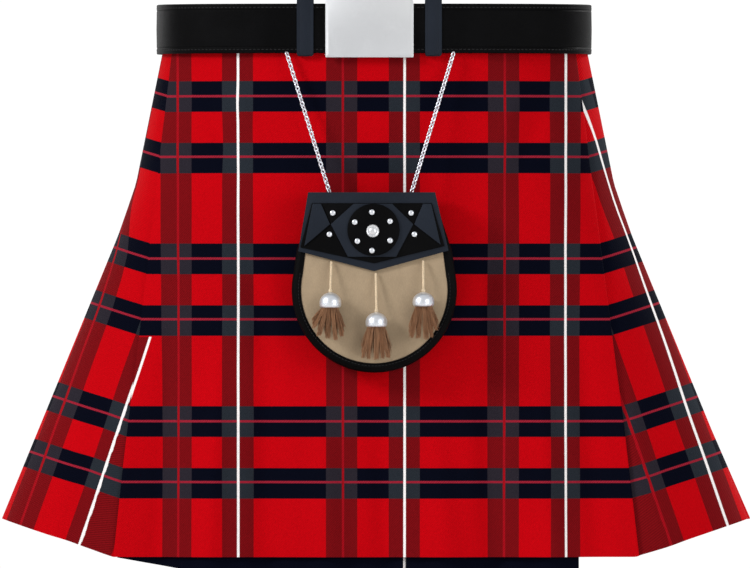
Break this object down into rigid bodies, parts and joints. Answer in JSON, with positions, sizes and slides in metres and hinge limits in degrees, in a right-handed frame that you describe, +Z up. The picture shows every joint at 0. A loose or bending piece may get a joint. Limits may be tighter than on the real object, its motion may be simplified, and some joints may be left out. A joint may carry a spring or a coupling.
{
  "type": "scottish kilt with sporran",
  "caption": "Worn tartan kilt with flat front apron, knife-pleated back, leather belt with plate buckle and a hanging leather sporran with tassels; hollow, open at waist and hem.",
  "frame": {"origin": "centre of the waist opening at half the height of the belt", "axes": "+Z up along the wearer, front apron and sporran towards -Y, +X to the right of someone facing the kilt, across the hem's long side"},
  "size_m": [0.7478, 0.4222, 0.5747],
  "materials": {
    "tartan": "worsted wool twill, woven red, maroon, navy and slate check with white and crimson lines",
    "black_leather": "black finished hide, satin",
    "slate_leather": "slate blue-grey hide, satin",
    "suede": "tan suede with a short nap",
    "silver": "polished white metal, light scratches",
    "cord": "cream twisted cord",
    "hair": "brown horsehair"
  },
  "bodies": {
    "kilt": {"over_apron": "tartan", "side_panel_right": "tartan", "side_panel_left": "tartan", "pleats_1": "tartan", "pleats_2": "tartan", "pleats_3": "tartan", "pleats_4": "tartan", "pleats_5": "tartan", "pleats_6": "tartan", "under_apron": "tartan", "waistband": "tartan", "belt": "black_leather", "buckle_plate": "silver", "buckle_clip": "silver", "belt_loop_left": "slate_leather", "belt_loop_right": "slate_leather", "hanger_left": "black_leather", "hanger_right": "black_leather"},
    "sporran": {"chain_left": "silver", "chain_right": "silver", "sporran_body": "black_leather", "sporran_rim": "black_leather", "suede_panel": "suede", "flap_frame": "slate_leather", "flap_inset": "black_leather", "flap_hexagon": "slate_leather", "flap_plate_left": "slate_leather", "flap_plate_right": "slate_leather", "flap_disc": "black_leather", "stud_01": "silver", "stud_02": "silver", "stud_03": "silver", "stud_04": "silver", "stud_05": "silver", "stud_06": "silver", "stud_07": "silver", "stud_08": "silver", "stud_09": "silver", "stud_10": "silver", "stud_11": "silver"},
    "tassel_left": {"tassel_cord_left": "cord", "tassel_cap_left": "silver", "tassel_hair_left": "hair"},
    "tassel_middle": {"tassel_cord_middle": "cord", "tassel_cap_middle": "silver", "tassel_hair_middle": "hair"},
    "tassel_right": {"tassel_cord_right": "cord", "tassel_cap_right": "silver", "tassel_hair_right": "hair"}
  },
  "joints": [
    {"name": "sporran_swing", "type": "hinge", "parent": "kilt", "child": "sporran", "pos_m": [0, -0.118, -0.028], "axis": [-1, 0, 0], "range_deg": [0, 75]},
    {"name": "tassel_swing_left", "type": "hinge", "parent": "sporran", "child": "tassel_left", "pos_m": [-0.043, -0.1672, -0.2325], "axis": [-1, 0, 0], "range_deg": [0, 80]},
    {"name": "tassel_swing_middle", "type": "hinge", "parent": "sporran", "child": "tassel_middle", "pos_m": [0.0012, -0.1672, -0.244], "axis": [-1, 0, 0], "range_deg": [0, 80]},
    {"name": "tassel_swing_right", "type": "hinge", "parent": "sporran", "child": "tassel_right", "pos_m": [0.0484, -0.1672, -0.2318], "axis": [-1, 0, 0], "range_deg": [0, 80]}
  ]
}
